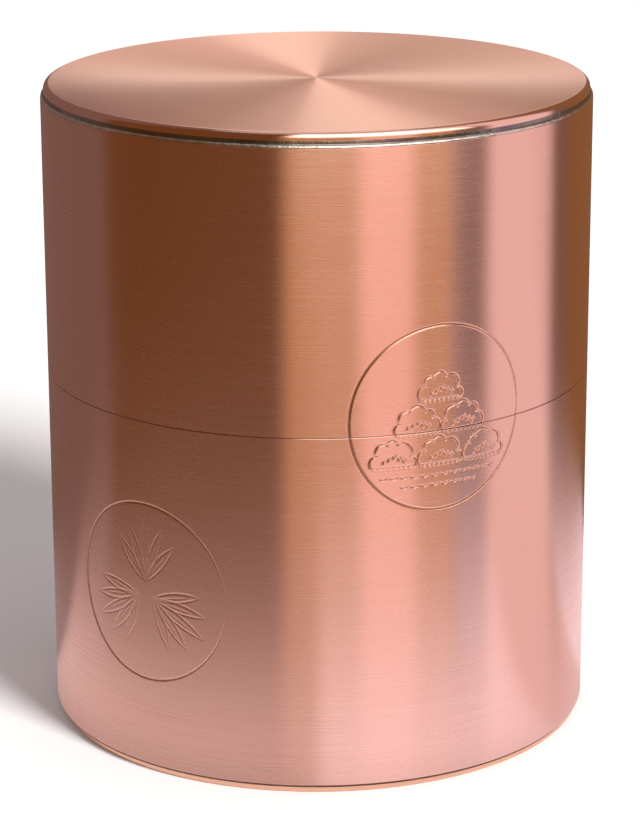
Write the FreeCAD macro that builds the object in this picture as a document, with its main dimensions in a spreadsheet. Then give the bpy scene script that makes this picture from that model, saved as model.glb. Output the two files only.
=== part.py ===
"""Round copper tea caddy with a lift-off outer lid and an inner lid.

A rolled copper shell stands on a pressed base plate and is lined with a tinplate tube. The
tube rises out of the shell as a neck. The outer lid slides down over the neck until it meets
the shell, so the two copper walls are flush. An inner lid plugs the mouth of the neck.

Millimetres, +Z up. The origin is on the axis, at the middle of the base. The soldered joints
of the rolled tubes are at the back, on +Y.
"""

import FreeCAD, Part

import os

import Sketcher
from FreeCAD import Placement, Rotation, Vector

# Each driving dimension: its alias in the sheet, its value, and what it is.
SIZES = [
    ("outer_radius", 40.0, "outside of the copper walls"),
    ("total_height", 95.0, "base to the top of the lid"),
    ("copper_sheet", 0.45, "copper of the body shell and lid shell"),
    ("copper_plate", 0.6, "copper of the pressed top and base plates"),
    ("tin_sheet", 0.35, "tinplate of the liner and the inner lid's skirt"),
    ("tin_plate", 0.4, "tinplate of the inner lid's plate and the liner's bottom"),
    ("tin_round", 0.14, "rounded edges of the tinplate"),
    ("meeting_height", 52.6, "top of the body shell, where the lid comes to rest"),
    ("meeting_gap", 0.06, "gap between the two copper walls"),
    ("edge_round", 0.15, "broken edges of the copper walls"),
    ("neck_rise", 27.0, "how far the liner stands above the body shell"),
    ("lining_gap", 0.1, "sliding clearance of the lid on the neck"),
    ("base_rim", 1.3, "how far the base plate stands below the shell"),
    ("base_flange", 4.5, "height of the base plate's flange"),
    ("plate_round", 0.55, "outside bend of the pressed plates"),
    ("plate_bend", 0.3, "inside bend of the pressed plates"),
    ("base_dish", 0.7, "how far the base plate's field is raised off the ground"),
    ("foot_width", 3.0, "width of the ring that the base plate rests on"),
    ("top_rise", 2.1, "how far the top plate stands above the lid shell"),
    ("top_flange", 3.2, "height of the top plate's flange"),
    ("solder_rise", 1.05, "height of the solder on the top plate's flange"),
    ("thin_solder", 0.3, "leg of the small solder fillets"),
    ("seam_degrees", 0.7, "angle that a tube's soldered joint takes up"),
    ("floor_flange", 2.0, "height of the liner bottom's flange"),
    ("lid_gap", 0.05, "gap under the inner lid's lip"),
    ("lip_inset", 0.15, "how far the inner lid's lip stays inside the neck"),
    ("plug_clearance", 0.15, "clearance of the inner lid's skirt in the neck"),
    ("plug_depth", 8.0, "height of the inner lid's skirt"),
    ("field_radius", 31.0, "raised field pressed into the inner lid"),
    ("field_rise", 0.8, "how far that field is raised"),
    ("field_slope", 1.2, "width of the slope around that field"),
    ("knob_foot_radius", 4.6, "foot of the knob"),
    ("knob_foot_height", 0.9, "thickness of the knob's foot"),
    ("knob_waist_bend", 3.05, "radius of the hollow between the knob's foot and head"),
    ("knob_head_radius", 6.2, "widest part of the knob"),
    ("knob_head_height", 6.6, "underside of the knob's head above the inner lid"),
    ("knob_head_edge", 1.0, "height of the head's upright edge"),
    ("knob_crown_rise", 1.6, "rise of the knob's domed top"),
    ("knob_round", 0.3, "rounded edges of the knob's head"),
    ("rivet_radius", 1.5, "shank of the rivet that holds the knob"),
    ("rivet_depth", 3.5, "how far the rivet goes up into the knob"),
    ("rivet_head_radius", 2.6, "peened head of the rivet"),
    ("rivet_face_radius", 1.4, "flat face of the peened head"),
    ("rivet_head_height", 0.9, "height of the peened head"),
    ("washer_radius", 4.0, "washer under the rivet's head"),
    ("washer_thickness", 0.5, "thickness of the washer"),
]

FULL_TURN = 360.0
TOUCHING = 1e-5
BACK_FROM_MINUS_X = Rotation(Vector(0, 0, 1), -90)
BACK_FROM_PLUS_X = Rotation(Vector(0, 0, 1), 90)

doc = FreeCAD.newDocument("tea_caddy")
sheet = doc.addObject("Spreadsheet::Sheet", "sizes")
for row, (alias, value, meaning) in enumerate(SIZES, start=1):
    sheet.set(f"A{row}", alias)
    sheet.set(f"B{row}", str(value))
    sheet.set(f"C{row}", meaning)
    sheet.setAlias(f"B{row}", alias)
doc.recompute()


def bound(text):
    """An expression with every alias in it written as a cell of the sheet."""
    words = text.split()
    aliases = {alias for alias, _, _ in SIZES}
    return " ".join(f"sizes.{word}" if word in aliases else word for word in words)


def value_of(text):
    """The number that an expression of aliases comes to."""
    return float(sheet.evalExpression(bound(text)))


def drawn_edge(start, end, curve):
    """The line or arc from start to end, and the point numbers of those two ends. curve is
    empty, or (arc radius, side): 1 bulges to the left of the way along, -1 to the right.
    Sketcher only holds anticlockwise arcs, so one that bulges left is drawn from its end."""
    if not curve:
        return Part.LineSegment(start, end), (1, 2)
    radius, side = value_of(curve[0]), curve[1]
    chord = end - start
    left = Vector(-chord.y, chord.x, 0).normalize()
    rise = radius - (radius**2 - (chord.Length / 2) ** 2) ** 0.5
    middle = (start + end) / 2 + left * side * rise
    if side > 0:
        return Part.Arc(end, middle, start), (2, 1)
    return Part.Arc(start, middle, end), (1, 2)


def profile(body, name, points):
    """A closed sketch on the body's XZ plane. Each point is (radius, height) in expressions. A
    point may also hold an arc radius and side, for an arc from it to the next point."""
    sketch = body.newObject("Sketcher::SketchObject", name)
    plane = [f for f in body.Origin.OriginFeatures if f.Role == "XZ_Plane"][0]
    sketch.AttachmentSupport = [(plane, "")]
    sketch.MapMode = "FlatFace"
    at = [Vector(value_of(p[0]), value_of(p[1]), 0) for p in points]
    count = len(points)
    ends = []
    for i, point in enumerate(points):
        edge, numbers = drawn_edge(at[i], at[(i + 1) % count], point[2:])
        sketch.addGeometry(edge)
        ends.append(numbers)
    joins = []
    sizes = []
    for i, point in enumerate(points):
        after = (i + 1) % count
        joins.append(Sketcher.Constraint("Coincident", i, ends[i][1], after, ends[after][0]))
        for kind, number, text in (("DistanceX", at[i].x, point[0]), ("DistanceY", at[i].y, point[1])):
            sizes.append((Sketcher.Constraint(kind, -1, 1, i, ends[i][0], number), text))
        if len(point) > 2:
            sizes.append((Sketcher.Constraint("Radius", i, value_of(point[2])), point[2]))
    sketch.addConstraint(joins + [constraint for constraint, _ in sizes])
    for index, (_, text) in enumerate(sizes, start=len(joins)):
        sketch.setExpression(f"Constraints[{index}]", bound(text))
    doc.recompute()
    corners = [vertex.Point for vertex in sketch.Shape.Vertexes]
    for corner in at:
        wanted = Vector(corner.x, 0, corner.y)
        if min(wanted.distanceToPoint(drawn) for drawn in corners) > TOUCHING:
            raise RuntimeError(f"{name} has a corner that isn't where its sizes put it")
    return sketch


def revolved(label, points, angle=None, turn=None):
    """A body turned about Z from a profile: a full turn, or angle degrees centred on the
    profile's own side, which turn then swings round."""
    body = doc.addObject("PartDesign::Body", label)
    body.Label = label
    sketch = profile(body, f"{label}_profile", points)
    turned = body.newObject("PartDesign::Revolution", f"{label}_turned")
    turned.Profile = sketch
    turned.ReferenceAxis = (sketch, ["V_Axis"])
    if angle is None:
        turned.Angle = FULL_TURN
    else:
        turned.Midplane = True
        turned.setExpression("Angle", bound(angle))
    doc.recompute()
    if turn is not None:
        body.Placement = Placement(Vector(), turn)
    return body


def ring_edges(body, radius, height):
    """Names of the circular edges of that radius at that height."""
    radius_value = value_of(radius)
    height_value = value_of(height)
    found = []
    for i, edge in enumerate(body.Shape.Edges, start=1):
        if edge.Degenerated or not isinstance(edge.Curve, Part.Circle):
            continue
        curve = edge.Curve
        if abs(curve.Radius - radius_value) < TOUCHING and abs(curve.Center.z - height_value) < TOUCHING:
            found.append(f"Edge{i}")
    if not found:
        raise RuntimeError(f"{body.Label} has no edge of radius {radius} at {height}")
    return found


def eased(body, kind, size, rings):
    """Fillets or chamfers the body's circular edges, each given as (radius, height)."""
    before = body.Shape.Volume
    base = body.Tip
    names = [name for radius, height in rings for name in ring_edges(body, radius, height)]
    feature = body.newObject(f"PartDesign::{kind}", f"{body.Label}_{kind.lower()}")
    feature.Base = (base, names)
    feature.setExpression("Radius" if kind == "Fillet" else "Size", bound(size))
    doc.recompute()
    if abs(body.Shape.Volume - before) < TOUCHING:
        raise RuntimeError(f"{body.Label}'s {kind} changed nothing")


def rolled(label, seam_label, inside, outside, low, high, eases):
    """A rolled tube with the strip of solder that closes it at the back. Each ease is
    (kind, size, rings) and is cut on both, so the edge runs straight across the joint."""
    points = [(inside, low), (outside, low), (outside, high), (inside, high)]
    tube = revolved(label, points, f"{FULL_TURN} - seam_degrees", BACK_FROM_MINUS_X)
    strip = revolved(seam_label, points, "seam_degrees", BACK_FROM_PLUS_X)
    for kind, size, rings in eases:
        eased(tube, kind, size, rings)
        eased(strip, kind, size, rings)


# Radii and heights that several pieces share.
COPPER_INSIDE = "outer_radius - copper_sheet"
FLANGE_INSIDE = COPPER_INSIDE + " - copper_plate"
FOOT_INSIDE = COPPER_INSIDE + " - foot_width"
LINER_OUTSIDE = COPPER_INSIDE + " - lining_gap"
LINER_INSIDE = LINER_OUTSIDE + " - tin_sheet"
FLOOR_INSIDE = LINER_INSIDE + " - tin_plate"
SKIRT_OUTSIDE = LINER_INSIDE + " - plug_clearance"
SKIRT_INSIDE = SKIRT_OUTSIDE + " - tin_sheet"
LIP_RADIUS = LINER_OUTSIDE + " - lip_inset"
LID_LOW = "meeting_height + meeting_gap"
LID_HIGH = "total_height - top_rise"
TOP_UNDERSIDE = "total_height - copper_plate"
TOP_FLANGE_LOW = "total_height - top_flange"
LINER_FLOOR = "base_flange"
FLOOR_TOP = LINER_FLOOR + " + tin_plate"
FLOOR_FLANGE_TOP = LINER_FLOOR + " + floor_flange"
NECK_TOP = "meeting_height + neck_rise"
LIP_LOW = NECK_TOP + " + lid_gap"
LIP_TOP = LIP_LOW + " + tin_plate"
FIELD_LOW = LIP_LOW + " + field_rise"
FIELD_TOP = LIP_TOP + " + field_rise"
SKIRT_LOW = LIP_LOW + " - plug_depth"
# What the top of a 45 degree slope shifts by, to keep the base plate's thickness even.
SLOPE_SHIFT = "copper_plate * tan(22.5 deg)"


def build_body():
    """The copper shell, its base plate and the tinplate liner."""
    # Pressed base plate: a dished field, a ring to stand on and a flange up inside the shell.
    base = revolved("base_plate", [
        ("0", "base_dish"),
        (FOOT_INSIDE + " - base_dish", "base_dish"),
        (FOOT_INSIDE, "0"),
        (COPPER_INSIDE, "0"),
        (COPPER_INSIDE, "base_flange"),
        (FLANGE_INSIDE, "base_flange"),
        (FLANGE_INSIDE, "copper_plate"),
        (FOOT_INSIDE + " + " + SLOPE_SHIFT, "copper_plate"),
        (FOOT_INSIDE + " - base_dish + " + SLOPE_SHIFT, "base_dish + copper_plate"),
        ("0", "base_dish + copper_plate"),
    ])
    eased(base, "Fillet", "plate_round", [(COPPER_INSIDE, "0")])
    eased(base, "Fillet", "plate_bend", [(FLANGE_INSIDE, "copper_plate")])

    ends = [("outer_radius", "base_rim"), ("outer_radius", "meeting_height")]
    rolled("body_shell", "body_seam_solder", COPPER_INSIDE, "outer_radius", "base_rim", "meeting_height",
           [("Chamfer", "edge_round", ends)])
    # Solder in the corner between the base plate's flange and the shell's lower edge.
    revolved("base_solder_ring", [
        (COPPER_INSIDE, "base_rim - thin_solder"),
        (COPPER_INSIDE + " + thin_solder", "base_rim"),
        (COPPER_INSIDE, "base_rim"),
    ])

    mouth = [(LINER_OUTSIDE, NECK_TOP), (LINER_INSIDE, NECK_TOP)]
    rolled("liner_tube", "liner_seam_solder", LINER_INSIDE, LINER_OUTSIDE, LINER_FLOOR, NECK_TOP,
           [("Fillet", "tin_round", mouth)])
    # The liner's own bottom, a shallow pan with its flange up against the tube.
    floor = revolved("liner_bottom", [
        ("0", LINER_FLOOR),
        (LINER_INSIDE, LINER_FLOOR),
        (LINER_INSIDE, FLOOR_FLANGE_TOP),
        (FLOOR_INSIDE, FLOOR_FLANGE_TOP),
        (FLOOR_INSIDE, FLOOR_TOP),
        ("0", FLOOR_TOP),
    ])
    eased(floor, "Fillet", "tin_plate", [(LINER_INSIDE, LINER_FLOOR)])
    revolved("liner_bottom_solder", [
        (FLOOR_INSIDE, FLOOR_FLANGE_TOP),
        (LINER_INSIDE, FLOOR_FLANGE_TOP),
        (LINER_INSIDE, FLOOR_FLANGE_TOP + " + tin_plate"),
    ])


def build_lid():
    """The outer lid: a rolled shell closed by a pressed top plate, soldered all round."""
    rolled("lid_shell", "lid_seam_solder", COPPER_INSIDE, "outer_radius", LID_LOW, LID_HIGH,
           [("Chamfer", "edge_round", [("outer_radius", LID_LOW)])])
    top = revolved("lid_top_plate", [
        ("0", TOP_UNDERSIDE),
        (FLANGE_INSIDE, TOP_UNDERSIDE),
        (FLANGE_INSIDE, TOP_FLANGE_LOW),
        (COPPER_INSIDE, TOP_FLANGE_LOW),
        (COPPER_INSIDE, "total_height"),
        ("0", "total_height"),
    ])
    eased(top, "Fillet", "plate_round", [(COPPER_INSIDE, "total_height")])
    eased(top, "Fillet", "plate_bend", [(FLANGE_INSIDE, TOP_UNDERSIDE)])

    # The bright band of solder between the top plate's flange and the lid shell's edge.
    revolved("lid_top_solder", [
        (COPPER_INSIDE, LID_HIGH),
        ("outer_radius", LID_HIGH),
        (COPPER_INSIDE, LID_HIGH + " + solder_rise"),
    ])
    # A second run of solder inside, under the flange.
    revolved("lid_inner_solder", [
        (FLANGE_INSIDE, TOP_FLANGE_LOW),
        (COPPER_INSIDE, TOP_FLANGE_LOW + " - copper_plate"),
        (COPPER_INSIDE, TOP_FLANGE_LOW),
    ])


def build_inner_lid():
    """The inner lid: a pressed plate with a skirt that plugs the neck, and a riveted knob."""
    plate = revolved("inner_lid_plate", [
        ("rivet_radius", FIELD_LOW),
        ("field_radius", FIELD_LOW),
        ("field_radius + field_slope", LIP_LOW),
        (LIP_RADIUS, LIP_LOW),
        (LIP_RADIUS, LIP_TOP),
        ("field_radius + field_slope", LIP_TOP),
        ("field_radius", FIELD_TOP),
        ("rivet_radius", FIELD_TOP),
    ])
    eased(plate, "Fillet", "tin_round", [(LIP_RADIUS, LIP_LOW), (LIP_RADIUS, LIP_TOP)])

    rolled("inner_lid_skirt", "inner_lid_seam_solder", SKIRT_INSIDE, SKIRT_OUTSIDE, SKIRT_LOW, LIP_LOW,
           [("Chamfer", "tin_round", [(SKIRT_OUTSIDE, SKIRT_LOW)])])
    revolved("inner_lid_solder", [
        (SKIRT_INSIDE + " - thin_solder", LIP_LOW),
        (SKIRT_INSIDE, LIP_LOW + " - thin_solder"),
        (SKIRT_INSIDE, LIP_LOW),
    ])

    # The turned knob has a flat foot, a hollow waist and a domed head, with a blind hole below.
    head_low = FIELD_TOP + " + knob_head_height"
    head_high = head_low + " + knob_head_edge"
    crown = "( knob_head_radius ^ 2 + knob_crown_rise ^ 2 ) / ( 2 * knob_crown_rise )"
    knob = revolved("knob", [
        ("rivet_radius", FIELD_TOP),
        ("knob_foot_radius", FIELD_TOP),
        ("knob_foot_radius", FIELD_TOP + " + knob_foot_height", "knob_waist_bend", 1),
        ("knob_head_radius", head_low),
        ("knob_head_radius", head_high, crown, -1),
        ("0", head_high + " + knob_crown_rise"),
        ("0", FIELD_TOP + " + rivet_depth"),
        ("rivet_radius", FIELD_TOP + " + rivet_depth"),
    ])
    head_edges = [("knob_head_radius", head_low), ("knob_head_radius", head_high)]
    eased(knob, "Fillet", "knob_round", head_edges)

    washer_low = FIELD_LOW + " - washer_thickness"
    revolved("knob_washer", [
        ("rivet_radius", washer_low),
        ("washer_radius", washer_low),
        ("washer_radius", FIELD_LOW),
        ("rivet_radius", FIELD_LOW),
    ])
    revolved("knob_rivet", [
        ("0", washer_low + " - rivet_head_height"),
        ("rivet_face_radius", washer_low + " - rivet_head_height"),
        ("rivet_head_radius", washer_low),
        ("rivet_radius", washer_low),
        ("rivet_radius", FIELD_TOP + " + rivet_depth"),
        ("0", FIELD_TOP + " + rivet_depth"),
    ])


def check_and_write():
    """Stops on any failed object, then writes one STEP file for each sub-part."""
    doc.recompute()
    for item in doc.Objects:
        if "Invalid" in item.State or "Error" in item.State:
            raise RuntimeError(f"{item.Label} failed: {item.State}")
    os.makedirs("parts", exist_ok=True)
    for body in doc.findObjects("PartDesign::Body"):
        shape = body.Shape
        if shape.isNull() or not shape.isValid() or shape.Volume <= 0:
            raise RuntimeError(f"{body.Label} has no valid solid")
        shape.exportStep(os.path.join("parts", f"{body.Label}.step"))
        box = shape.BoundBox
        print(f"{body.Label:24s} {shape.Volume:10.2f} mm3  z {box.ZMin:7.2f} to {box.ZMax:7.2f}")


build_body()
build_lid()
build_inner_lid()
check_and_write()
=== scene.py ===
"""Looks of the copper tea caddy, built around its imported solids.

Every visible piece is made here as a finer mesh than its solid: the two copper walls with their
engraving, the turned plates, the soldered joints, the tinplate liner and the inner lid. Lengths
are in millimetres and become metres in the mesh, except the stage's, which are in metres. An
angle of 0 on a wall faces the camera, along -Y, and grows towards +X.
"""

import math

import bpy
import numpy as np
from mathutils import Matrix, Vector, noise


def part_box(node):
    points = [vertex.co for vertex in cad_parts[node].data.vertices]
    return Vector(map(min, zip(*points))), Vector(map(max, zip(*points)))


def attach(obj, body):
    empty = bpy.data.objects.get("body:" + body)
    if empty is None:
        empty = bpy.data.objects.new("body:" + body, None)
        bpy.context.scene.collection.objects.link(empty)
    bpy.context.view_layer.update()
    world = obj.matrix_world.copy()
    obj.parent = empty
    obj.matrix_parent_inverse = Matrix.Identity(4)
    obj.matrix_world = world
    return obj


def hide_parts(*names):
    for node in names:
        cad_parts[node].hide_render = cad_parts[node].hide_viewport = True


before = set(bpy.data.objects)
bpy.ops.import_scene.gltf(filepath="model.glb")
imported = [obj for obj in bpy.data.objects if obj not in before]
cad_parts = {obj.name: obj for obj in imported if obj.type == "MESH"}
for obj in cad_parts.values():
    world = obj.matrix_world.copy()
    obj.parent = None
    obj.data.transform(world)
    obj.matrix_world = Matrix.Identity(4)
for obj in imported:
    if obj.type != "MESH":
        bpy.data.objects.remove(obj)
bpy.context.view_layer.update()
MM = 0.001


def node_mm(node):
    """Largest radius, lowest and highest point of a solid, in millimetres."""
    low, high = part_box(node)
    return max(high.x, high.y) / MM, low.z / MM, high.z / MM


# Sizes of the solids.
OUTER, BODY_LOW, BODY_HIGH = node_mm("body_shell")
_, LID_LOW, LID_HIGH = node_mm("lid_shell")
COPPER_INSIDE, TOP_FLANGE_LOW, TOP = node_mm("lid_top_plate")
_, FLOOR, BASE_FLANGE_TOP = node_mm("base_plate")
LINER, LINER_LOW, NECK_TOP = node_mm("liner_tube")
PAN, _, PAN_FLANGE_TOP = node_mm("liner_bottom")
COVER, COVER_LOW, COVER_TOP = node_mm("inner_lid_plate")
PLUG, PLUG_LOW, _ = node_mm("inner_lid_skirt")
KNOB_HEAD, KNOB_LOW, KNOB_TOP = node_mm("knob")
WASHER, WASHER_LOW, WASHER_HIGH = node_mm("knob_washer")
RIVET_HEAD, RIVET_LOW, _ = node_mm("knob_rivet")

COPPER_PLATE = 0.6
TIN_PLATE = 0.4
TIN_SHEET = 0.35
EDGE_BREAK = 0.08
HIDDEN_EDGE_BREAK = 0.02
EDGE_ROUND = 0.85
SEAM_DEGREES = 0.7
COPPER_SEAM_DEPTH = 0.35
RIVET_HOLE = 1.5
SOLDER_SEGMENTS = 720

# ---------------------------------------------------------------------------- meshes


def make_object(name, mesh, body, replaced, material):
    """Links a mesh as one piece of the caddy."""
    piece = bpy.data.objects.new(name, mesh)
    bpy.context.scene.collection.objects.link(piece)
    piece.data.materials.append(material)
    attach(piece, body)
    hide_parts(*replaced)
    return piece


def bent(corners, steps=6):
    """An outline whose corners are rounded. A corner is (radius, height, bend radius)."""
    outline = []
    for i, (r, z, bend) in enumerate(corners):
        corner = Vector((r, z))
        if bend == 0:
            outline.append((r, z))
            continue
        before = (Vector(corners[i - 1][:2]) - corner).normalized()
        after = (Vector(corners[(i + 1) % len(corners)][:2]) - corner).normalized()
        half = before.angle(after) / 2
        centre = corner + (before + after).normalized() * bend / math.sin(half)
        start = corner + before * bend / math.tan(half) - centre
        turn = start.angle_signed(corner + after * bend / math.tan(half) - centre)
        for k in range(steps + 1):
            angle = -turn * k / steps
            x = start.x * math.cos(angle) - start.y * math.sin(angle)
            y = start.x * math.sin(angle) + start.y * math.cos(angle)
            outline.append((centre.x + x, centre.y + y))
    return outline


def swung(start, end, radius, steps=24):
    """Points on an arc between two others. It swells left, or right if radius is negative."""
    chord = Vector(end) - Vector(start)
    left = Vector((-chord.y, chord.x)).normalized() * math.copysign(1, radius)
    half = chord.length / 2
    centre = Vector(start) + chord / 2 - left * math.sqrt(radius ** 2 - half ** 2)
    arm = Vector(start) - centre
    turn = -2 * math.asin(half / radius)
    points = []
    for k in range(1, steps + 1):
        angle = turn * k / steps
        x = arm.x * math.cos(angle) - arm.y * math.sin(angle)
        y = arm.x * math.sin(angle) + arm.y * math.cos(angle)
        points.append((centre.x + x, centre.y + y))
    points[-1] = tuple(end)
    return points


def lathe(name, outline, segments=360, sharp=32.0, gap=0.0):
    """A closed outline of (radius, height) turned about Z, with a gap in degrees at the back."""
    columns = segments + 1 if gap else segments
    angles = [math.radians(gap / 2 - 180 + (360 - gap) * k / segments) for k in range(columns)]
    verts = []
    rings = []
    for r, z in outline:
        if r == 0:
            rings.append([len(verts)] * columns)
            verts.append((0, 0, z * MM))
            continue
        rings.append(list(range(len(verts), len(verts) + columns)))
        verts += [(r * math.sin(angle) * MM, -r * math.cos(angle) * MM, z * MM) for angle in angles]
    faces = []
    for a, b in zip(rings, rings[1:] + rings[:1]):
        if a[0] == a[1] and b[0] == b[1]:
            continue
        for k in range(segments):
            n = (k + 1) % columns
            corners = [a[k], a[n], b[n], b[k]]
            faces.append([c for j, c in enumerate(corners) if c != corners[j - 1]])
    if gap:
        faces.append([ring[0] for ring in rings])
        faces.append([ring[-1] for ring in reversed(rings)])
    return finished_mesh(name, verts, faces, sharp)


def finished_mesh(name, verts, faces, sharp):
    """A smooth mesh that keeps every edge sharper than that angle in degrees."""
    mesh = bpy.data.meshes.new(name)
    mesh.from_pydata(verts, [], faces)
    mesh.validate()
    mesh.shade_smooth()
    mesh.set_sharp_from_angle(angle=math.radians(sharp))
    return mesh


def run_of_solder(name, outline, worked, amount=0.05, grain=1.6):
    """A ring of solder whose face, from one point of its outline to another, is worked by hand."""
    mesh = lathe(name, outline, SOLDER_SEGMENTS, 70)
    first, last = worked
    for i in range(first * SOLDER_SEGMENTS, (last + 1) * SOLDER_SEGMENTS):
        point = mesh.vertices[i].co
        out = Vector((point.x, point.y, 0)).normalized()
        swell = noise.noise(point / (grain * MM)) + 0.4 * noise.noise(point / (grain * 0.3 * MM))
        mesh.vertices[i].co = point + out * amount * MM * (swell - 0.7)
    return mesh


def seam(name, inside, outside, low, high, rows=400):
    """A strip of solder up the back of a rolled sheet, rippled where the iron has passed."""
    half_width = outside * math.radians(SEAM_DEGREES / 2)
    across = np.linspace(-1, 1, 9)
    verts = []
    for z in np.linspace(low, high, rows + 1):
        ripple = 0.5 + 0.5 * noise.noise((0, inside, z / 0.9))
        for share in across:
            crown = 0.7 + 0.3 * (1 - share * share)
            radius = inside + (outside - inside) * crown * (0.88 + 0.12 * ripple)
            verts.append((half_width * share * MM, radius * MM, z * MM))
        for share in (1, -1):
            verts.append((half_width * share * MM, inside * MM, z * MM))
    loop = len(across) + 2
    faces = [[k for k in range(loop)], [rows * loop + k for k in reversed(range(loop))]]
    for row in range(rows):
        for k in range(loop):
            a, b = row * loop + k, row * loop + (k + 1) % loop
            faces.append([b, a, a + loop, b + loop])
    return finished_mesh(name, verts, faces, 50)


# ---------------------------------------------------------------------------- engraving

# The wall is laid out in coarse cells, each of which can be split into FINE by FINE small ones.
COARSE_COLUMNS = 192
FINE = 16
AROUND = COARSE_COLUMNS * FINE
STEP = 2 * math.pi * OUTER / AROUND
SEAM_GROOVE = 0.32


def circle(centre, radius, steps=200):
    """Points round a circle, ending where they start."""
    turns = np.radians(np.linspace(0, 360, steps))
    return [(centre[0] + radius * math.cos(t), centre[1] + radius * math.sin(t)) for t in turns]


def bulge(a, b, height, steps=8):
    """Points from a to b on a curve that swells to the left by that share of its length."""
    along = Vector(b) - Vector(a)
    left = Vector((-along.y, along.x))
    shares = [k / steps for k in range(steps + 1)]
    return [tuple(Vector(a) + along * s + left * height * 4 * s * (1 - s)) for s in shares]


# A stroke is its points, its half width and its depth. A point is (distance round the wall,
# height). These are the half widths and depths of the strokes.
PINE_CIRCLE_CUT = (0.27, 0.13)
BAMBOO_CIRCLE_CUT = (0.24, 0.09)
LOBE_CUT = (0.24, 0.13)
TICK_CUT = (0.2, 0.11)
NEEDLE_CUT = (0.2, 0.12)
SHORT_NEEDLE_CUT = (0.15, 0.08)
FOOT_CUT = (0.19, 0.09)
LOWER_FOOT_CUT = (0.15, 0.06)
LEAF_CUT = (0.22, 0.055)
VEIN_CUT = (0.16, 0.03)


def pine_cloud(centre, width, height, lobes, needles):
    """One cloud of pine needles: uneven lobes over the top, a rippled foot, and ticks inside."""
    cu, cz = centre
    strokes = []
    shares = [k / lobes + 0.18 / lobes * math.sin(2.4 * k + cu) for k in range(lobes + 1)]
    shares[0], shares[-1] = 0, 1
    angles = [math.radians(196 - 212 * share) for share in shares]
    cusps = [(cu + width / 2 * math.cos(t), cz + height * math.sin(t)) for t in angles]
    for a, b in zip(cusps, cusps[1:]):
        strokes.append((bulge(a, b, 0.3), *LOBE_CUT))
    for a in cusps[1:-1]:
        inward = (a[0] + (cu - a[0]) * 0.14, a[1] + (cz - a[1]) * 0.14)
        strokes.append(([a, inward], *TICK_CUT))
    ripples = lobes + 3
    foot = [(cu + width * (k / ripples - 0.5) * 0.95, cz - 0.1 * height) for k in range(ripples + 1)]
    for a, b in zip(foot, foot[1:]):
        strokes.append((bulge(a, b, -0.3), *FOOT_CUT))
        low = (a[0] + 0.3, a[1] - 0.55)
        strokes.append((bulge(low, (b[0] - 0.1, low[1]), -0.25), *LOWER_FOOT_CUT))
    for k in range(needles):
        share = (k + 0.5) / needles - 0.5
        u, z = cu + width * share * 0.55, cz + height * (0.42 - abs(share) * 0.5)
        lean = share * 0.8
        strokes.append(([(u, z), (u + lean, z - 0.75)], *NEEDLE_CUT))
        beside = u + 0.42
        strokes.append(([(beside, z + 0.2), (beside + lean, z - 0.35)], *SHORT_NEEDLE_CUT))
    return strokes


def leaf(root, angle, length, width):
    """A slender bamboo leaf: two edges that meet at its tip, and a vein."""
    turn = math.radians(angle)
    tip = (root[0] + length * math.cos(turn), root[1] + length * math.sin(turn))
    share = width / length
    middle = [tuple(Vector(root).lerp(Vector(tip), s)) for s in (0.15, 0.75)]
    return [
        (bulge(root, tip, share), *LEAF_CUT),
        (bulge(root, tip, -share * 0.8), *LEAF_CUT),
        (middle, *VEIN_CUT),
    ]


PINE = (17.4, 54.5)
PINE_RADIUS = 13.2
BAMBOO = (-26.3, 27.5)
BAMBOO_RADIUS = 13.1
# Clouds in each tier of the pine, from the lowest up, and how far apart clouds and tiers stand.
CLOUD_TIERS = (3, 2, 1)
CLOUD_PITCH = 7.0
TIER_RISE = 4.6
CLOUD_WIDTH = 6.0
CLOUD_HEIGHT = 3.0
CLOUD_LOBES = 5
CLOUD_NEEDLES = 5
# How far the pine's ground lies below its circle's middle, and each row of ripples below that
# ground with half of the row's length.
GROUND_DROP = 6.0
RIPPLE_ROWS = ((1.9, 9.0), (3.3, 6.0))
RIPPLE_PITCH = 1.5
RIPPLE_LENGTH = 1.2
SPRIG_TURNS = (90, 210, 330)
SPRIG_OFFSET = 1.5
LEAF_LEANS = (-2, -1, 0, 1, 2)
LEAF_FAN_DEGREES = 20
LEAF_LENGTH = 9.6
LEAF_SHORTENING = 0.9
LEAF_WIDTH = 0.75


def pine_strokes():
    """A plain pine inside its circle: tiers of clouds, each shorter, over a rippled ground."""
    strokes = [(circle(PINE, PINE_RADIUS), *PINE_CIRCLE_CUT)]
    ground = PINE[1] - GROUND_DROP
    for tier, count in enumerate(CLOUD_TIERS):
        for k in range(count):
            centre = (PINE[0] + CLOUD_PITCH * (k - (count - 1) / 2), ground + TIER_RISE * tier)
            strokes += pine_cloud(centre, CLOUD_WIDTH, CLOUD_HEIGHT, CLOUD_LOBES, CLOUD_NEEDLES)
    for drop, half in RIPPLE_ROWS:
        for k in range(int(2 * half / RIPPLE_PITCH)):
            a = (PINE[0] - half + RIPPLE_PITCH * k, ground - drop)
            strokes.append((bulge(a, (a[0] + RIPPLE_LENGTH, a[1]), -0.28), *TICK_CUT))
    return strokes


def bamboo_strokes():
    """Three plain fans of bamboo leaves in a circle, set at even turns round its middle."""
    strokes = [(circle(BAMBOO, BAMBOO_RADIUS), *BAMBOO_CIRCLE_CUT)]
    for turn in SPRIG_TURNS:
        out = math.radians(turn)
        root = (BAMBOO[0] + SPRIG_OFFSET * math.cos(out), BAMBOO[1] + SPRIG_OFFSET * math.sin(out))
        for lean in LEAF_LEANS:
            length = LEAF_LENGTH - LEAF_SHORTENING * abs(lean)
            strokes += leaf(root, turn + LEAF_FAN_DEGREES * lean, length, LEAF_WIDTH)
    return strokes


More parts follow.
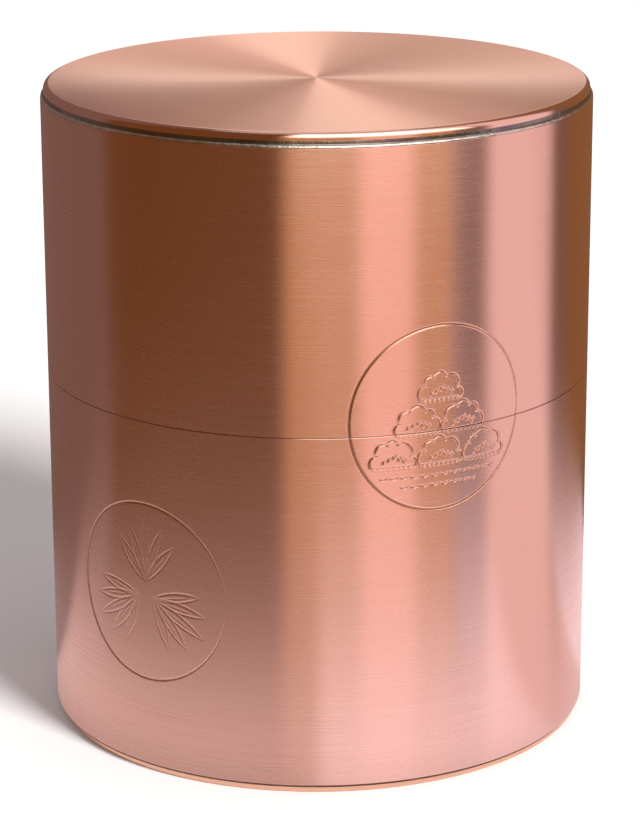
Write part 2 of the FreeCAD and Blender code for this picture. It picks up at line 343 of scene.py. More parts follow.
def press(depths, heights, points, width, depth):
    """Presses one stroke into the grid of depths. It narrows towards both of its ends."""
    rows = heights[1] - heights[0]
    ends = len(points) - 1
    for k in range(ends):
        (u0, z0), (u1, z1) = points[k], points[k + 1]
        i0 = math.floor((min(u0, u1) - width) / STEP) + AROUND // 2
        i1 = math.ceil((max(u0, u1) + width) / STEP) + AROUND // 2 + 1
        j0 = max(0, math.floor((min(z0, z1) - width - heights[0]) / rows))
        j1 = min(len(heights), math.ceil((max(z0, z1) + width - heights[0]) / rows) + 1)
        if j0 >= j1:
            continue
        u = ((np.arange(i0, i1) - AROUND // 2) * STEP)[:, None]
        z = heights[j0:j1][None, :]
        du, dz = u1 - u0, z1 - z0
        share = np.clip(((u - u0) * du + (z - z0) * dz) / (du * du + dz * dz), 0, 1)
        away = np.hypot(u - u0 - share * du, z - z0 - share * dz)
        along = (k + share) / ends
        swell = 0.35 + 0.65 * np.clip(np.minimum(along, 1 - along) * 5, 0, 1)
        cut = depth * swell * np.clip(1 - (away / (width * swell)) ** 2, 0, 1) ** 2
        window = depths[i0:i1, j0:j1]
        np.maximum(window, cut, out=window)


def busy_blocks(busy, size):
    """Which blocks of size by size cells have engraving in them."""
    a, b = busy.shape
    return busy.reshape(a // size, size, b // size, size).any(axis=(1, 3))


def grown(busy):
    """The cells that touch a busy cell, and those cells too."""
    wide = busy | np.roll(busy, 1, 0) | np.roll(busy, -1, 0)
    tall = wide.copy()
    tall[:, 1:] |= wide[:, :-1]
    tall[:, :-1] |= wide[:, 1:]
    return tall


def wall_cells(busy):
    """Square cells that cover the wall, small where it is engraved: (column, row, size)."""
    cells = []
    size = FINE
    open_blocks = np.ones((busy.shape[0] // size, busy.shape[1] // size), bool)
    while size >= 1:
        blocks = busy_blocks(busy, size) if size > 1 else np.zeros_like(open_blocks)
        for i, j in np.argwhere(open_blocks & ~blocks):
            cells.append((i * size, j * size, size))
        open_blocks = np.repeat(np.repeat(open_blocks & blocks, 2, 0), 2, 1)
        size //= 2
    return cells


def engraved_wall(name, low, high, low_break, high_break, strokes):
    """A rolled copper wall. Its outside is a grid of cells with the strokes pressed in."""
    bottom, crest = low + low_break, high - high_break
    rows = round((crest - bottom) / (STEP * FINE)) * FINE
    heights = np.linspace(bottom, crest, rows + 1)
    depths = np.zeros((AROUND, rows + 1))
    for points, width, depth in strokes:
        press(depths, heights, points, width, depth)
    from_seam = np.minimum(np.arange(AROUND), AROUND - np.arange(AROUND)) * STEP
    groove = SEAM_GROOVE * np.clip(1 - (from_seam / SEAM_GROOVE) ** 6, 0, 1)
    np.maximum(depths, groove[:, None], out=depths)
    rise = heights[1] - heights[0]
    slope_u = (np.roll(depths, -1, 0) - np.roll(depths, 1, 0)) / (2 * STEP)
    slope_z = np.gradient(depths, rise, axis=1)
    pressed = depths > 0
    corner = pressed | np.roll(pressed, -1, 0)
    busy = grown(corner[:, 1:] | corner[:, :-1])
    cells = wall_cells(busy)

    used = np.zeros((AROUND, rows + 1), bool)
    for i, j, size in cells:
        far = (i + size) % AROUND
        used[[i, far, i, far], [j, j, j + size, j + size]] = True
    rim = used[:, 0] | used[:, rows]
    used[:, 0] = rim
    used[:, rows] = rim
    ids = np.full(used.shape, -1)
    ids[used] = np.arange(used.sum())
    columns, lines = np.nonzero(used)
    angle = (columns / AROUND - 0.5) * 2 * math.pi
    outward = np.stack([np.sin(angle), -np.cos(angle)], 1)
    across = np.stack([np.cos(angle), np.sin(angle)], 1)
    radius = OUTER - depths[used]
    verts = np.column_stack([outward * radius[:, None], heights[lines]])
    tilt = np.column_stack([outward + across * slope_u[used][:, None], slope_z[used]])
    tilt /= np.linalg.norm(tilt, axis=1)[:, None]

    faces = []
    for i, j, size in cells:
        if size == 1:
            n = (i + 1) % AROUND
            faces.append([ids[i, j], ids[n, j], ids[n, j + 1], ids[i, j + 1]])
            continue
        span = np.arange(i, i + size) % AROUND
        end = (i + size) % AROUND
        ring = list(ids[span, j]) + list(ids[end, j:j + size])
        ring += [ids[end, j + size]] + list(ids[span[::-1], j + size])[:-1]
        ring += [ids[i, j + size]] + list(ids[i, j + size - 1:j:-1])
        faces.append([v for v in ring if v >= 0])
    normals = [tilt[v] for face in faces for v in face]

    # The broken edges, the ends and the inside share the angles of the outside's rims.
    rim_columns = np.nonzero(rim)[0]
    rim_outward = outward[ids[rim_columns, 0]]
    bottom_depth, top_depth = depths[rim_columns, 0], depths[rim_columns, rows]
    rings = [ids[rim_columns, 0]]
    for radii, z in (
        (OUTER - bottom_depth - low_break, low),
        (np.full(len(rim_columns), COPPER_INSIDE), low),
        (np.full(len(rim_columns), COPPER_INSIDE), high),
        (OUTER - top_depth - high_break, high),
    ):
        rings.append(np.arange(len(verts), len(verts) + len(rim_columns)))
        ring = np.column_stack([rim_outward * radii[:, None], np.full(len(rim_columns), z)])
        verts = np.vstack([verts, ring])
    rings.append(ids[rim_columns, rows])
    leans = [(1, -1), (0, -1), (-1, 0), (0, 1), (1, 1)]
    for a, b, (lean_out, lean_up) in zip(rings, rings[1:], leans):
        for k in range(len(rim_columns)):
            n = (k + 1) % len(rim_columns)
            faces.append([b[k], b[n], a[n], a[k]])
            for at in (k, n, n, k):
                direction = Vector((*(rim_outward[at] * lean_out), lean_up)).normalized()
                normals.append(direction)
    mesh = bpy.data.meshes.new(name)
    mesh.from_pydata((verts * MM).tolist(), [], faces)
    mesh.shade_smooth()
    mesh.normals_split_custom_set([tuple(n) for n in normals])
    return mesh


# ---------------------------------------------------------------------------- materials


class Shader:
    """A material's nodes, added one at a time."""

    def __init__(self, name, **sockets):
        self.material = bpy.data.materials.new(name)
        self.material.use_nodes = True
        self.tree = self.material.node_tree
        self.surface = self.tree.nodes["Principled BSDF"]
        for socket, value in sockets.items():
            self.surface.inputs[socket.replace("_", " ")].default_value = value

    def add(self, kind, settings=None, **inputs):
        """A node with its settings, and its inputs set or linked by name."""
        node = self.tree.nodes.new(kind)
        for key, value in (settings or {}).items():
            setattr(node, key, value)
        for key, value in inputs.items():
            self.put(node, key.replace("_", " "), value)
        return node

    def put(self, node, key, value):
        """Sets or links one input, named or numbered."""
        socket = node.inputs[int(key[1:])] if key[0] == "i" and key[1:].isdigit() else node.inputs[key]
        if isinstance(value, bpy.types.NodeSocket):
            self.tree.links.new(value, socket)
        else:
            socket.default_value = value

    def math(self, operation, a, b=0.0):
        node = self.add("ShaderNodeMath", {"operation": operation}, i0=a, i1=b)
        return node.outputs[0]

    def spread(self, value, low, high):
        """A value from 0 to 1 spread from low to high."""
        node = self.add("ShaderNodeMapRange", None, Value=value, To_Min=low, To_Max=high)
        return node.outputs[0]


COPPER_LIGHT = (0.95, 0.66, 0.58, 1)
COPPER_DEEP = (0.91, 0.59, 0.49, 1)
PATINA = (0.46, 0.24, 0.15, 1)
# The colour of painted shade on the solder where it meets the top plate's edge.
SHADE_TONE = (0.13, 0.12, 0.12, 1)


# A quarter of a turn, which lays the highlight across the streaks.
ACROSS_STREAKS = 0.25
# How deep in the wall the patina starts and is full, and how far it keeps off the inside.
PATINA_STARTS = 0.04
PATINA_FULL = 0.13
PATINA_STOPS = 0.05


def turned_metal(name, light, deep, across, roughness, anisotropic, patina=False, polished=False):
    """Metal brushed or turned round the axis. across is "z" for walls and "r" for discs."""
    shader = Shader(name, Metallic=1.0, Anisotropic=anisotropic, Anisotropic_Rotation=ACROSS_STREAKS)
    place = shader.add("ShaderNodeTexCoord").outputs["Object"]
    xyz = shader.add("ShaderNodeSeparateXYZ", None, Vector=place)
    x, y, z = xyz.outputs
    angle = shader.math("ARCTAN2", x, shader.math("MULTIPLY", y, -1.0))
    square = shader.math("ADD", shader.math("MULTIPLY", x, x), shader.math("MULTIPLY", y, y))
    radius = shader.math("SQRT", square)
    line = z if across == "z" else radius

    def streaks(thickness, length, detail, seed):
        """Streaks of that thickness and length in millimetres."""
        vector = shader.add("ShaderNodeCombineXYZ", None, X=shader.math("MULTIPLY", angle, OUTER / length),
                            Y=shader.math("MULTIPLY", line, 1 / (thickness * MM)), Z=seed)
        made = shader.add("ShaderNodeTexNoise", None, Vector=vector.outputs[0], Scale=1.0, Detail=detail)
        return made.outputs["Fac"]

    fine = streaks(0.16, 14.0, 2.0, 1.7)
    broad = streaks(0.9, 40.0, 3.0, 9.2)
    cloud = shader.add("ShaderNodeTexNoise", None, Vector=place, Scale=45.0, Detail=3.0).outputs["Fac"]
    tone = shader.math("ADD", shader.math("MULTIPLY", broad, 0.5), shader.math("MULTIPLY", cloud, 0.5))
    tint = shader.add("ShaderNodeMix", {"data_type": "RGBA"}, Factor=shader.spread(tone, 0.0, 1.0))
    tint.inputs["A"].default_value = deep
    tint.inputs["B"].default_value = light
    colour = tint.outputs["Result"]
    if patina:
        # The grooves of the engraving are darker than the wall that they are cut in.
        cut = shader.add("ShaderNodeMapRange", {"interpolation_type": "SMOOTHSTEP"}, Value=radius)
        cut.inputs["From Min"].default_value = (OUTER - PATINA_STARTS) * MM
        cut.inputs["From Max"].default_value = (OUTER - PATINA_FULL) * MM
        outside = shader.math("GREATER_THAN", radius, (COPPER_INSIDE + PATINA_STOPS) * MM)
        share = shader.math("MULTIPLY", cut.outputs[0], outside)
        dark = shader.add("ShaderNodeMix", {"data_type": "RGBA"}, Factor=share)
        shader.put(dark, "i6", colour)
        dark.inputs["B"].default_value = PATINA
        colour = dark.outputs["Result"]
    shader.put(shader.surface, "Base Color", colour)
    mixed = shader.math("ADD", shader.math("MULTIPLY", fine, 0.6), shader.math("MULTIPLY", cloud, 0.4))
    rough = shader.spread(mixed, roughness - 0.06, roughness + 0.06)
    if polished:
        # The turned face ends at the plate's rounded edge, which is polished.
        edge = shader.add("ShaderNodeMapRange", None, Value=radius, To_Min=1.0, To_Max=0.4)
        edge.inputs["From Min"].default_value = (COPPER_INSIDE - EDGE_ROUND) * MM
        edge.inputs["From Max"].default_value = (COPPER_INSIDE - EDGE_ROUND + 0.15) * MM
        rough = shader.math("MULTIPLY", rough, edge.outputs[0])
    shader.put(shader.surface, "Roughness", rough)
    height = shader.math("ADD", shader.math("MULTIPLY", fine, 0.7), shader.math("MULTIPLY", broad, 0.3))
    bump = shader.add("ShaderNodeBump", None, Strength=0.12, Distance=0.00005, Height=height)
    shader.put(shader.surface, "Normal", bump.outputs[0])
    tangent = shader.add("ShaderNodeTangent", {"direction_type": "RADIAL", "axis": "Z"})
    shader.put(shader.surface, "Tangent", tangent.outputs[0])
    return shader.material


def worked_metal(name, light, deep, roughness, grain, strength, shade_radius=None):
    """Metal worked by hand, with no run of its own. Painted shade darkens it inside shade_radius."""
    shader = Shader(name, Metallic=1.0)
    place = shader.add("ShaderNodeTexCoord").outputs["Object"]
    rate = 1 / (grain * MM)
    noises = [shader.add("ShaderNodeTexNoise", None, Vector=place, Scale=scale, Detail=detail)
              for scale, detail in ((rate, 4.0), (6 * rate, 3.0))]
    coarse, small = (made.outputs["Fac"] for made in noises)
    tint = shader.add("ShaderNodeMix", {"data_type": "RGBA"}, Factor=shader.spread(coarse, -0.4, 1.4))
    tint.inputs["A"].default_value = deep
    tint.inputs["B"].default_value = light
    colour = tint.outputs["Result"]
    # Painted shade: the solder is darker inside shade_radius, in patches.
    if shade_radius:
        flat = shader.add("ShaderNodeVectorMath", {"operation": "MULTIPLY"}, i0=place, i1=(1, 1, 0))
        length = shader.add("ShaderNodeVectorMath", {"operation": "LENGTH"}, i0=flat.outputs[0])
        radius = length.outputs["Value"]
        near = shader.add("ShaderNodeMapRange", None, Value=radius)
        near.inputs["From Min"].default_value = (shade_radius + 0.12) * MM
        near.inputs["From Max"].default_value = shade_radius * MM
        patches = shader.add("ShaderNodeTexNoise", None, Vector=place, Scale=70.0, Detail=2.0).outputs["Fac"]
        share = shader.math("MULTIPLY", near.outputs[0], shader.spread(patches, 0.15, 1.35))
        dark = shader.add("ShaderNodeMix", {"data_type": "RGBA"}, Factor=share)
        shader.put(dark, "i6", colour)
        dark.inputs["B"].default_value = SHADE_TONE
        colour = dark.outputs["Result"]
    shader.put(shader.surface, "Base Color", colour)
    shader.put(shader.surface, "Roughness", shader.spread(small, roughness - 0.12, roughness + 0.12))
    height = shader.math("ADD", coarse, shader.math("MULTIPLY", small, 0.35))
    bump = shader.add("ShaderNodeBump", None, Strength=strength, Distance=0.0003, Height=height)
    shader.put(shader.surface, "Normal", bump.outputs[0])
    return shader.material


WALL_COPPER = turned_metal("brushed_copper", COPPER_LIGHT, COPPER_DEEP, "z",
                           roughness=0.27, anisotropic=1.0, patina=True)
TOP_COPPER = turned_metal("turned_copper", COPPER_LIGHT, COPPER_DEEP, "r",
                          roughness=0.35, anisotropic=1.0, polished=True)
BASE_LIGHT = (0.86, 0.52, 0.38, 1)
BASE_DEEP = (0.72, 0.40, 0.28, 1)
BASE_COPPER = turned_metal("pressed_copper", BASE_LIGHT, BASE_DEEP, "r",
                           roughness=0.34, anisotropic=0.5)
KNOB_COPPER = turned_metal("knob_turning", COPPER_LIGHT, COPPER_DEEP, "z",
                           roughness=0.18, anisotropic=0.4)
TIN_LIGHT = (0.80, 0.79, 0.76, 1)
TIN_DEEP = (0.66, 0.65, 0.63, 1)
TIN_WALL = turned_metal("rolled_tinplate", TIN_LIGHT, TIN_DEEP, "z",
                        roughness=0.28, anisotropic=0.5)
TIN_DISC = turned_metal("pressed_tinplate", TIN_LIGHT, TIN_DEEP, "r",
                        roughness=0.28, anisotropic=0.5)
SOLDER_GRAIN = 1.4
SOLDER = worked_metal("worked_solder", (0.74, 0.74, 0.72, 1), (0.40, 0.41, 0.39, 1),
                      roughness=0.30, grain=SOLDER_GRAIN, strength=0.4)
# The top joint's solder is painted darker where it meets the plate's edge: painted shade.
EDGE_SOLDER = worked_metal("edge_solder", (0.86, 0.86, 0.84, 1), (0.55, 0.56, 0.53, 1),
                           roughness=0.24, grain=SOLDER_GRAIN, strength=0.3, shade_radius=COPPER_INSIDE + 0.1)
# The base joint is real solder, coloured near black as painted shade of the gap between the wall's foot and
# the base pan.
GAP_SHADE_SOLDER = worked_metal("gap_shade_solder", (0.20, 0.12, 0.10, 1), (0.10, 0.05, 0.04, 1),
                              roughness=0.5, grain=SOLDER_GRAIN, strength=0.5)
RIVET_COPPER = worked_metal("hammered_copper", COPPER_LIGHT, COPPER_DEEP,
                            roughness=0.3, grain=1.0, strength=0.5)

# ---------------------------------------------------------------------------- copper


def build_walls():
    """The two rolled copper walls, engraved across their joint."""
    strokes = pine_strokes() + bamboo_strokes()
    lid_wall = engraved_wall("lid_wall", LID_LOW, LID_HIGH, EDGE_BREAK, HIDDEN_EDGE_BREAK, strokes)
    make_object("lid_wall", lid_wall, "lid", ["lid_shell"], WALL_COPPER)
    body_wall = engraved_wall("body_wall", BODY_LOW, BODY_HIGH, EDGE_BREAK, EDGE_BREAK, strokes)
    make_object("body_wall", body_wall, "body", ["body_shell"], WALL_COPPER)


def build_plates():
    """The pressed plates that close the top of the lid and the bottom of the body."""
    plate_inside = COPPER_INSIDE - COPPER_PLATE
    top_disc = lathe("top_disc", bent([
        (0, TOP - COPPER_PLATE, 0),
        (plate_inside, TOP - COPPER_PLATE, 0.3),
        (plate_inside, TOP_FLANGE_LOW, 0),
        (COPPER_INSIDE, TOP_FLANGE_LOW, 0),
        (COPPER_INSIDE, TOP, EDGE_ROUND),
        (0, TOP, 0),
    ]))
    make_object("top_disc", top_disc, "lid", ["lid_top_plate"], TOP_COPPER)

    foot_inside = COPPER_INSIDE - 3
    upper_foot = foot_inside + 0.25
    dish = 0.7
    base_pan = lathe("base_pan", bent([
        (0, dish, 0),
        (foot_inside - dish, dish, 0.4),
        (foot_inside, FLOOR, 0.3),
        (COPPER_INSIDE, FLOOR, 0.55),
        (COPPER_INSIDE, BASE_FLANGE_TOP, 0.05),
        (plate_inside, BASE_FLANGE_TOP, 0.05),
        (plate_inside, FLOOR + COPPER_PLATE, 0.3),
        (upper_foot, FLOOR + COPPER_PLATE, 0.4),
        (upper_foot - dish, dish + COPPER_PLATE, 0.3),
        (0, dish + COPPER_PLATE, 0),
    ]))
    make_object("base_pan", base_pan, "body", ["base_plate"], BASE_COPPER)


def build_copper_joints():
    """Solder along the edges of the plates and up the backs of the walls."""
    top_joint = run_of_solder("top_joint", [
        (COPPER_INSIDE, LID_HIGH),
        (OUTER - 0.05, LID_HIGH),
        (OUTER, LID_HIGH + 0.08),
        (OUTER - 0.01, LID_HIGH + 0.18),
        (OUTER - 0.05, LID_HIGH + 0.28),
        (OUTER - 0.12, LID_HIGH + 0.37),
        (OUTER - 0.22, LID_HIGH + 0.43),
        (OUTER - 0.36, LID_HIGH + 0.46),
        (OUTER - 0.39, LID_HIGH + 0.6),
        (OUTER - 0.40, LID_HIGH + 0.85),
        (COPPER_INSIDE, LID_HIGH + 1.03),
    ], worked=(2, 7), amount=0.04)
    make_object("top_joint", top_joint, "lid", ["lid_top_solder"], EDGE_SOLDER)

    flange = COPPER_INSIDE - COPPER_PLATE
    lid_joint = run_of_solder("lid_joint", [
        (flange, TOP_FLANGE_LOW),
        (flange + 0.25, TOP_FLANGE_LOW - 0.2),
        (flange + 0.42, TOP_FLANGE_LOW - 0.38),
        (COPPER_INSIDE, TOP_FLANGE_LOW - 0.6),
        (COPPER_INSIDE, TOP_FLANGE_LOW),
    ], worked=(1, 2), amount=-0.05)
    make_object("lid_joint", lid_joint, "lid", ["lid_inner_solder"], SOLDER)

    base_joint = run_of_solder("base_joint", [
        (COPPER_INSIDE, BODY_LOW - 0.45),
        (COPPER_INSIDE + 0.08, BODY_LOW - 0.24),
        (COPPER_INSIDE + 0.22, BODY_LOW - 0.08),
        (COPPER_INSIDE + 0.3, BODY_LOW),
        (COPPER_INSIDE, BODY_LOW),
    ], worked=(1, 2), amount=0.03)
    make_object("base_joint", base_joint, "body", ["base_solder_ring"], GAP_SHADE_SOLDER)

    body_seam = seam("body_seam", OUTER - COPPER_SEAM_DEPTH, OUTER, BODY_LOW, BODY_HIGH)
    make_object("body_seam", body_seam, "body", ["body_seam_solder"], SOLDER)
    lid_seam = seam("lid_seam", OUTER - COPPER_SEAM_DEPTH, OUTER, LID_LOW, LID_HIGH)
    make_object("lid_seam", lid_seam, "lid", ["lid_seam_solder"], SOLDER)


# ---------------------------------------------------------------------------- tinplate


def build_liner():
    """The tinplate liner: a rolled tube with its soldered seam, and a pan soldered in its foot."""
    inside = LINER - TIN_SHEET
    liner_wall = lathe("liner_wall", bent([
        (inside, LINER_LOW, 0),
        (LINER, LINER_LOW, 0.05),
        (LINER, NECK_TOP, 0.14),
        (inside, NECK_TOP, 0.14),
    ]), gap=SEAM_DEGREES)
    make_object("liner_wall", liner_wall, "body", ["liner_tube"], TIN_WALL)
    liner_seam = seam("liner_seam", inside, LINER, LINER_LOW, NECK_TOP)
    make_object("liner_seam", liner_seam, "body", ["liner_seam_solder"], SOLDER)

    pan_inside = PAN - TIN_PLATE
    liner_pan = lathe("liner_pan", bent([
        (0, LINER_LOW, 0),
        (PAN, LINER_LOW, 0.4),
        (PAN, PAN_FLANGE_TOP, 0.05),
        (pan_inside, PAN_FLANGE_TOP, 0.05),
        (pan_inside, LINER_LOW + TIN_PLATE, 0.15),
        (0, LINER_LOW + TIN_PLATE, 0),
    ]))
    make_object("liner_pan", liner_pan, "body", ["liner_bottom"], TIN_DISC)
    pan_joint = run_of_solder("pan_joint", [
        (pan_inside, PAN_FLANGE_TOP),
        (PAN, PAN_FLANGE_TOP),
        (PAN, PAN_FLANGE_TOP + 0.4),
        (PAN - 0.14, PAN_FLANGE_TOP + 0.22),
        (PAN - 0.27, PAN_FLANGE_TOP + 0.1),
    ], worked=(3, 4), amount=-0.03)
    make_object("pan_joint", pan_joint, "body", ["liner_bottom_solder"], SOLDER)


def build_inner_lid():
    """The pressed cover with its raised field, and the soldered ring that plugs the neck."""
    field, field_slope = 31.0, 1.2
    cover_plate = lathe("cover_plate", bent([
        (RIVET_HOLE, COVER_TOP - TIN_PLATE, 0),
        (field, COVER_TOP - TIN_PLATE, 0.6),
        (field + field_slope, COVER_LOW, 0.9),
        (COVER, COVER_LOW, 0.14),
        (COVER, COVER_LOW + TIN_PLATE, 0.14),
        (field + field_slope, COVER_LOW + TIN_PLATE, 0.6),
        (field, COVER_TOP, 0.9),
        (RIVET_HOLE, COVER_TOP, 0),
    ]))
    make_object("cover_plate", cover_plate, "inner_lid", ["inner_lid_plate"], TIN_DISC)

    inside = PLUG - TIN_SHEET
    plug_ring = lathe("plug_ring", bent([
        (inside, PLUG_LOW, 0.05),
        (PLUG, PLUG_LOW, 0.14),
        (PLUG, COVER_LOW, 0),
        (inside, COVER_LOW, 0),
    ]), gap=SEAM_DEGREES)
    make_object("plug_ring", plug_ring, "inner_lid", ["inner_lid_skirt"], TIN_WALL)
    plug_seam = seam("plug_seam", inside, PLUG, PLUG_LOW, COVER_LOW, rows=100)
    make_object("plug_seam", plug_seam, "inner_lid", ["inner_lid_seam_solder"], SOLDER)
    plug_joint = run_of_solder("plug_joint", [
        (inside - 0.3, COVER_LOW),
        (inside - 0.19, COVER_LOW - 0.09),
        (inside - 0.09, COVER_LOW - 0.19),
        (inside, COVER_LOW - 0.3),
        (inside, COVER_LOW),
    ], worked=(1, 2), amount=-0.02)
    make_object("plug_joint", plug_joint, "inner_lid", ["inner_lid_solder"], SOLDER)


def build_knob():
    """The turned knob, and the washer and rivet that hold it to the cover."""
    hole_top = KNOB_LOW + 3.5
    foot_top = (4.6, KNOB_LOW + 0.9)
    waist_radius = 3.05
    head_low = (KNOB_HEAD, KNOB_LOW + 6.6)
    head_high = (KNOB_HEAD, head_low[1] + 1.0)
    crown_rise = KNOB_TOP - head_high[1]
    crown_radius = (KNOB_HEAD ** 2 + crown_rise ** 2) / (2 * crown_rise)
    outline = [(RIVET_HOLE, KNOB_LOW), (foot_top[0], KNOB_LOW), foot_top]
    outline += swung(foot_top, head_low, waist_radius)
    outline += [head_high]
    outline += swung(head_high, (0, KNOB_TOP), -crown_radius)
    outline += [(0, hole_top), (RIVET_HOLE, hole_top)]
    turned_knob = lathe("turned_knob", bent([
        (r, z, 0.3 if (r, z) in (head_low, head_high) else 0) for r, z in outline
    ]), segments=180)
    make_object("turned_knob", turned_knob, "inner_lid", ["knob"], KNOB_COPPER)

    washer = lathe("washer", bent([
        (RIVET_HOLE, WASHER_LOW, 0),
        (WASHER, WASHER_LOW, 0.1),
        (WASHER, WASHER_HIGH, 0),
        (RIVET_HOLE, WASHER_HIGH, 0),
    ]), segments=120)
    make_object("washer", washer, "inner_lid", ["knob_washer"], TIN_DISC)

    face = 1.4
    rivet = lathe("rivet", bent([
        (0, RIVET_LOW, 0),
        (face, RIVET_LOW, 0.5),
        (RIVET_HEAD, WASHER_LOW, 0.06),
        (RIVET_HOLE, WASHER_LOW, 0),
        (RIVET_HOLE, hole_top, 0),
        (0, hole_top, 0),
    ]), segments=120)
    make_object("rivet", rivet, "inner_lid", ["knob_rivet"], RIVET_COPPER)


build_walls()
build_plates()
build_copper_joints()
build_liner()
build_inner_lid()
build_knob()

# ---------------------------------------------------------------------------- stage

# What the copper mirrors, as painted reflections on a glowing bowl that only glossy rays see: a dim warm
# room, and soft-edged panels laid over it in this order. The table panels paint the table's reflection
# darker to the left and behind and brightest to the right.
# Each panel has a name, the azimuths it spans in degrees (0 is the camera's side, positive to the
# right), the stretch it covers in metres (out over the table, then up), and its colour.
ROOM = (0.2, 0.12, 0.1)
PANELS = {
    "table": ((-180, 180), (0.0, 0.05), (0.4, 0.3, 0.3)),
    "near_table": ((-105, 140), (0.0, 0.05), (0.9, 0.7, 0.7)),
    "lit_table": ((0, 140), (0.0, 0.08), (1.2, 1.0, 1.1)),
    "dark_card": ((-85, -12), (0.05, 0.6), (0.15, 0.06, 0.02)),
    "warm_wall": ((-12, 50), (0.06, 0.6), (0.5, 0.25, 0.1)),
    "warm_glow": ((15, 35), (0.06, 0.6), (0.9, 0.5, 0.4)),
    "overhead": ((-10, 60), (0.24, 0.6), (2.5, 2.3, 2.1)),
    "pink_strip": ((65, 100), (0.0, 0.6), (0.9, 0.65, 0.65)),
    "olive_card": ((112, 150), (0.08, 0.6), (0.25, 0.12, 0.05)),
    "pale_back": ((155, 200), (0.2, 0.6), (0.9, 0.7, 0.6)),
}
PANEL_EDGE_DEGREES = 7.0
PANEL_EDGE_METRES = 0.03
BOWL_FOOT = 0.0405
BOWL_RADIUS = 0.15
BOWL_REACH = 0.56
BOWL_RINGS = 57
BOWL_CLEARANCE = 0.0006
BOWL_STEP_DEGREES = 2
KEY_DIRECTION = (-0.75, 0.96, -0.8)
KEY_ENERGY = 5.0
KEY_SPREAD_DEGREES = 18
FLOOR_HALF = 3.0
FLOOR_TONE = (0.83, 0.82, 0.81, 1)
WORLD_TONE = (1.0, 0.93, 0.95, 1)
WORLD_STRENGTH = 0.5
LENS_MM = 134.47
SENSOR_MM = 36.0
CAMERA_PLACE = (0.0, -0.44024, 0.17797)
CAMERA_TURN, CAMERA_DIP, CAMERA_ROLL = -0.041, 16.877, -0.218


def staged(name, verts, faces, material):
    """A mesh that belongs to the stage."""
    mesh = bpy.data.meshes.new(name)
    mesh.from_pydata(verts, [], faces)
    mesh.materials.append(material)
    item = bpy.data.objects.new(name, mesh)
    bpy.context.scene.collection.objects.link(item)
    return item


def soft_span(value, low, high, edge):
    """1 between low and high, falling smoothly to 0 over an edge centred on each of them."""
    rise = np.clip((value - low) / edge + 0.5, 0, 1)
    fall = np.clip((high - value) / edge + 0.5, 0, 1)
    both = np.minimum(rise, fall)
    return both * both * (3 - 2 * both)


def panel_tone(azimuth, reach):
    """The colour of the surroundings in one direction, at one reach out and up."""
    tone = np.array(ROOM)
    for (left, right), (low, high), colour in PANELS.values():
        middle = (left + right) / 2
        apart = (azimuth - middle + 180) % 360 - 180
        cover = soft_span(reach, low, high, PANEL_EDGE_METRES)
        if right - left < 360:
            half = (right - left) / 2
            cover = cover * soft_span(apart, -half, half, PANEL_EDGE_DEGREES)
        tone = tone + (np.array(colour) - tone) * cover
    return tone


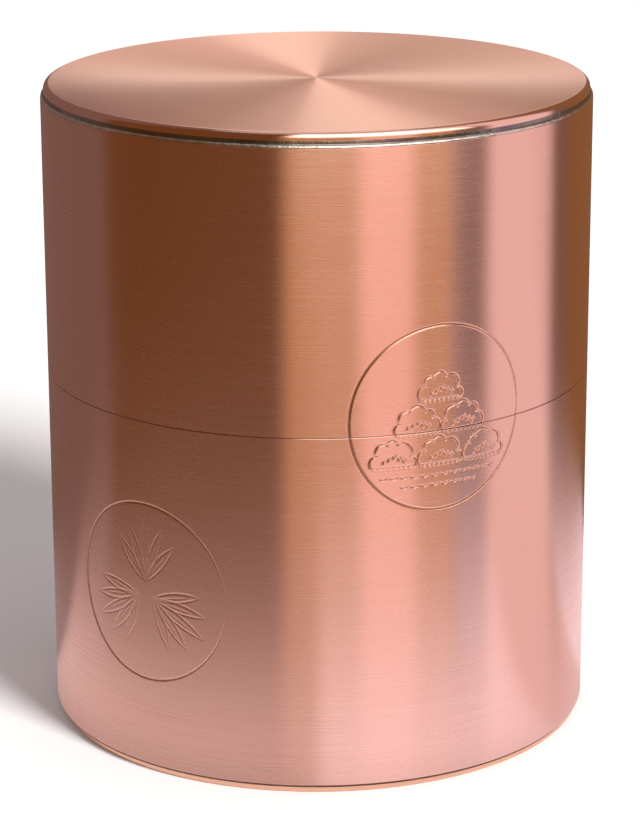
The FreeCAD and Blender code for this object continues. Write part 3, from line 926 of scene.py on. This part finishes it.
def build_surroundings():
    """A bowl round the caddy, out over the table and then up, that glows in the panels' colours."""
    azimuths = np.arange(-180, 180, BOWL_STEP_DEGREES)
    floor_reach = BOWL_RADIUS - BOWL_FOOT
    verts, tones = [], []
    for reach in np.linspace(0, BOWL_REACH, BOWL_RINGS):
        radius = BOWL_FOOT + min(reach, floor_reach)
        height = BOWL_CLEARANCE + max(reach - floor_reach, 0)
        for azimuth in azimuths:
            angle = math.radians(azimuth)
            verts.append((radius * math.sin(angle), -radius * math.cos(angle), height))
            tones.append((*panel_tone(azimuth, reach), 1))
    count = len(azimuths)
    faces = []
    for ring in range(BOWL_RINGS - 1):
        for k in range(count):
            here, there = ring * count, (ring + 1) * count
            faces.append((here + k, here + (k + 1) % count, there + (k + 1) % count, there + k))
    material = bpy.data.materials.new("surroundings")
    material.use_nodes = True
    tree = material.node_tree
    tree.nodes.clear()
    glow = tree.nodes.new("ShaderNodeEmission")
    tone = tree.nodes.new("ShaderNodeAttribute")
    tone.attribute_name = "tone"
    tree.links.new(tone.outputs["Color"], glow.inputs["Color"])
    out = tree.nodes.new("ShaderNodeOutputMaterial")
    tree.links.new(glow.outputs[0], out.inputs["Surface"])
    bowl = staged("surroundings", verts, faces, material)
    colours = bowl.data.color_attributes.new("tone", "FLOAT_COLOR", "POINT")
    colours.data.foreach_set("color", np.array(tones, np.float32).ravel())
    bowl.visible_camera = False
    bowl.visible_diffuse = False
    bowl.visible_shadow = False


def build_key():
    """A broad key light from the right and the front. It lights the floor, and isn't mirrored."""
    light = bpy.data.lights.new("key", "SUN")
    light.energy = KEY_ENERGY
    light.angle = math.radians(KEY_SPREAD_DEGREES)
    key = bpy.data.objects.new("key", light)
    bpy.context.scene.collection.objects.link(key)
    key.rotation_euler = Vector(KEY_DIRECTION).to_track_quat("-Z", "Y").to_euler()
    key.visible_glossy = False


def build_stage():
    """A pale floor and an even world."""
    half = FLOOR_HALF
    pale = Shader("pale_floor", Base_Color=FLOOR_TONE, Roughness=0.9)
    staged("floor", [(-half, -half, 0), (half, -half, 0), (half, half, 0), (-half, half, 0)],
           [(0, 1, 2, 3)], pale.material)
    world = bpy.data.worlds.new("studio")
    world.use_nodes = True
    sky = world.node_tree.nodes["Background"]
    sky.inputs["Color"].default_value = WORLD_TONE
    sky.inputs["Strength"].default_value = WORLD_STRENGTH
    bpy.context.scene.world = world
    bpy.context.scene.view_settings.view_transform = "Standard"


def build_camera():
    """The photograph's view: a long lens, a little above the caddy."""
    lens = bpy.data.cameras.new("camera")
    lens.lens = LENS_MM
    lens.sensor_width = SENSOR_MM
    camera = bpy.data.objects.new("camera", lens)
    bpy.context.scene.collection.objects.link(camera)
    turn = Matrix.Rotation(math.radians(CAMERA_TURN), 4, "Z")
    tip = Matrix.Rotation(math.radians(90 - CAMERA_DIP), 4, "X")
    roll = Matrix.Rotation(math.radians(CAMERA_ROLL), 4, "Z")
    camera.matrix_world = Matrix.Translation(CAMERA_PLACE) @ turn @ tip @ roll
    bpy.context.scene.camera = camera


build_surroundings()
build_stage()
build_key()
build_camera()
